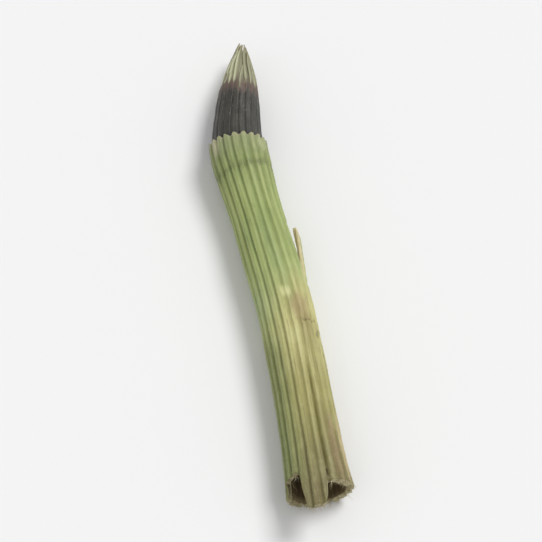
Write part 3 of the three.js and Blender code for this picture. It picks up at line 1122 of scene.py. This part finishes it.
seed = given["Seed"]
middle = -math.pi / 2 + PITCH * (leaf + 0.5)
short_by = 2.4 * chance(sheath, 0.0, 1.0, leaf, seed) ** 2.5 + 0.3 * cosine(middle).ramp(-0.4, 1)
split = given["Split"] + chance(sheath, -0.5, 1.6, leaf, seed + 1)
leaf_length = given["Length"] - short_by
grown_together = given["Split"] - 0.5
up = blend(share.climb(0.5, 1), share.climb(0, 0.5) * grown_together, leaf_length)
tooth = (up - split).climb(0, leaf_length - split)

drawn_in = (up / given["Split"]).climb(0, 1)
profile = blend(drawn_in**1.35, given["Foot Radius"], given["Shoulder Radius"])
pointed = (up - given["Split"]).climb(0, given["Length"] - given["Split"])
profile = blend(pointed**1.25, profile, given["Tip Radius"])
tooth_wide = (1 - tooth**3) ** 0.8
natural = smaller(1.4 * given["Shoulder Radius"] / profile, 4)
spread = blend(tooth.ramp(0, 0.12), 1, tooth_wide * natural)
away = chance(sheath, -1.0, 1.0, leaf, seed + 2)
curled = chance(sheath, -1.0, 1.0, leaf, seed + 3)
around = middle + across * spread * PITCH / 2 + 0.15 * away * tooth**2
fused = 1 - tooth.ramp(0, 0.25)
keel = (0.015 + 0.025 * fused) * (1 - abs(across)) ** 0.7 - 0.03 * (1 - abs(across)).ramp(0.72, 1)
seam = -0.045 * abs(across).ramp(0.72, 1.0) * fused
lapped = 0.1 * across * tooth.ramp(0, 0.12) * smaller(profile, 1)
all_round = as_grown(sheath, around, 1.6, up)
folds = 0.22 * grain(sheath, all_round, 0.42, stretch=2.4, shift=4) * up.ramp(0.6, 4)
crinkles = 0.05 * grain(sheath, all_round, 2.2, stretch=2, detail=3, shift=6) * up.ramp(0.2, 2)
out = profile + keel + seam + lapped + folds * smaller(profile, 1) + crinkles
out = out + 0.03 * away * tooth.ramp(0.0, 0.3) + 0.2 * larger(curled, 0) * tooth**4
geometry = lay(sheath, grid, around, out, given["Foot"] + up)
geometry = remember(sheath, geometry, "grown", all_round, "FLOAT_VECTOR")
geometry = remember(sheath, geometry, "blade", vector(sheath, across, up, tooth), "FLOAT_VECTOR")
geometry = remember(sheath, geometry, "column", column)

# The grid's faces between one leaf and the next go. Below the split the leaves share their edge.
between = fraction(recall(sheath, "column") / per_leaf)
bridging = reckon(sheath, "GREATER_THAN", between, (given["Columns per Leaf"] + 0.1) / per_leaf)
parted = sheath.nodes.new("GeometryNodeDeleteGeometry")
parted.domain = "FACE"
sheath.links.new(geometry, parted.inputs["Geometry"])
feed(parted.inputs["Selection"], bridging)
whole = weld(sheath, parted.outputs[0], gap=2e-6)
finish_tree(sheath, whole, made["Geometry"], [(given["Leaf"], None)])

leaf_skin, tree, shader = new_material("leaf sheath", paint("403c3c"), 0.5)
grown, (right_side, _, _) = stored(tree, "grown")
_, (across, up, tooth) = stored(tree, "blade")
streaks, _, fibre_relief = dried(tree, grown, 4.5, 14.0)
blotches = grain(tree, grown, 1.3, stretch=1.6, detail=3, shift=2)
edge = abs(across)
colour = tint(tree, 0.5 + 1.3 * blotches, "2a2923", "403e36")
colour = tint(tree, edge.ramp(0.55, 1.0) * 0.7, colour, "22201f")
# Painted highlight: paler down the middle of each leaf, along its keel.
colour = tint(tree, edge.ramp(0.4, 0.0) * (0.2 + 0.35 * streaks), colour, "62605a")
flakes = grain(tree, grown, 9, stretch=2.2, shift=8)
colour = tint(tree, flakes.ramp(0.28, 0.5) * up.ramp(0.3, 1.2) * 0.5, colour, "8f8a80")
colour = tint(tree, up.ramp(0.5, 0.2) * 0.85, colour, "1f1a1b")
changing = up + 0.9 * blotches + 0.5 * streaks + 0.45 * edge
colour = tint(tree, changing.ramp(4.5, 5.3), colour, "63544a")
pale = tint(tree, 0.5 + streaks, "78765c", "9c9b7d")
colour = tint(tree, changing.ramp(5.4, 6.6), colour, pale)
# Painted highlight: the pale paper is brighter on the left side of the cone.
painted_highlight_side = 0.3 + 0.7 * right_side.ramp(0.1, -0.8)
papery = edge.ramp(0.28, 0.75) * changing.ramp(5.4, 6.4) * painted_highlight_side
colour = tint(tree, papery * (0.75 + 0.6 * streaks), colour, "d4d5b0")
midrib = edge.ramp(0.13, 0.03) * changing.ramp(4.8, 5.6) * tooth.ramp(1.0, 0.5)
colour = tint(tree, midrib * (0.45 + streaks), colour, "76604f")
colour = tint(tree, tooth.ramp(0.7, 1.0) * 0.6, colour, "93855f")
dull = 0.46 + 0.2 * streaks + 0.2 * changing.ramp(4.5, 6)
dress(tree, shader, colour, dull, fibre_relief + 0.3 * flakes, 0.03)

leaves = grow("leaf_sheath_papery", sheath, Leaf=leaf_skin)
wall = leaves.modifiers.new("wall", "SOLIDIFY")
wall.thickness = 0.00008
wall.offset = -1
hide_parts("leaf_sheath")
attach(leaves, "root")

# ---- floor and light ----
# A sheet of pale paper, lit softly from all round. A broad window on the right and behind casts
# the shadow, and a weak fill from the left opens it.

floor_mesh = bpy.data.meshes.new("floor")
far = 3.0
corners = [(-far, -far, 0), (far, -far, 0), (far, far, 0), (-far, far, 0)]
floor_mesh.from_pydata(corners, [], [(0, 1, 2, 3)])
floor = bpy.data.objects.new("floor", floor_mesh)
bpy.context.scene.collection.objects.link(floor)
paper, _, _ = new_material("paper", (0.9, 0.9, 0.9), 0.9)
floor_mesh.materials.append(paper)

world = bpy.data.worlds.new("studio")
world.use_nodes = True
bpy.context.scene.world = world
world.node_tree.nodes["Background"].inputs["Color"].default_value = (1, 1, 1, 1)
world.node_tree.nodes["Background"].inputs["Strength"].default_value = 0.5


def sun(name, strength, spread, azimuth, elevation):
    """A lamp that shines from one side of the sky. Its angles are in degrees."""
    lamp = bpy.data.lights.new(name, "SUN")
    lamp.energy = strength
    lamp.angle = math.radians(spread)
    obj = bpy.data.objects.new(name, lamp)
    a, e = math.radians(azimuth), math.radians(elevation)
    direction = Vector((math.sin(a) * math.cos(e), -math.cos(a) * math.cos(e), math.sin(e)))
    obj.rotation_mode = "QUATERNION"
    obj.rotation_quaternion = direction.to_track_quat("Z", "Y")
    bpy.context.scene.collection.objects.link(obj)


sun("window", 1.8, 25, 112, 55)
sun("fill", 0.2, 60, -60, 35)

bpy.context.scene.view_settings.view_transform = "Standard"
